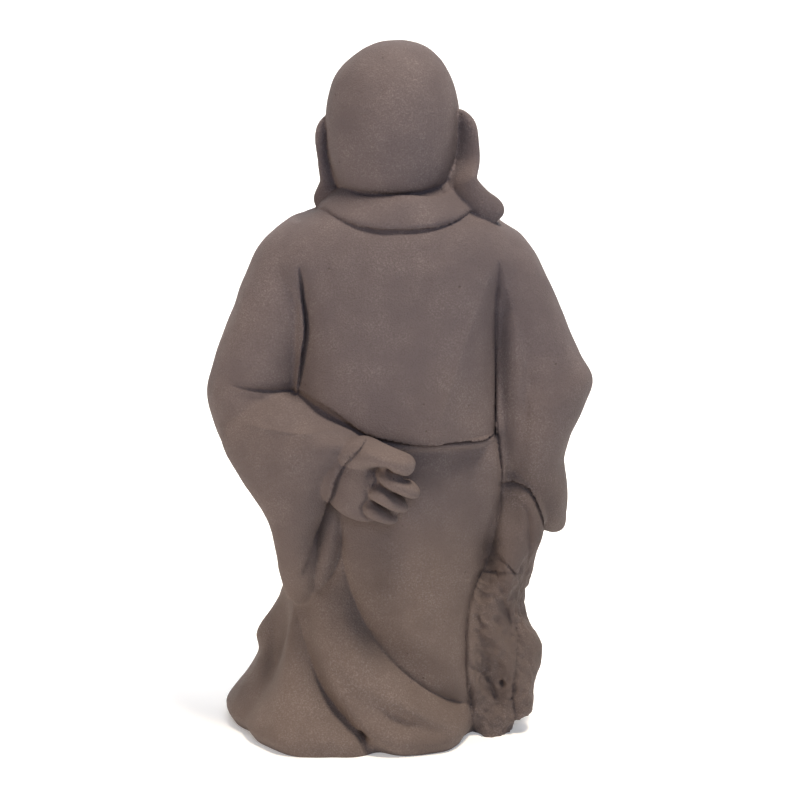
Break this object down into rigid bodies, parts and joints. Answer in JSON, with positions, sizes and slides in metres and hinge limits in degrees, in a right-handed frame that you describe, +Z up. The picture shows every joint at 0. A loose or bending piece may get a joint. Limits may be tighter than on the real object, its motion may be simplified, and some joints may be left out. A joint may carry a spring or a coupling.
{
  "type": "buddha statue",
  "caption": "Cast garden statue of a standing, smiling monk in a long open robe, the left hand closed behind the back, beside a gnarled stump.",
  "frame": {"origin": "middle of the bounding box's footprint, on the flat underside", "axes": "+Z up, the figure faces -Y, +X at its left hand"},
  "size_m": [0.443, 0.3296, 0.8],
  "materials": {
    "cast_stone": "matt, fine grained, purplish brown-grey"
  },
  "bodies": {
    "root": {"buddha_figure": "cast_stone"}
  },
  "joints": []
}
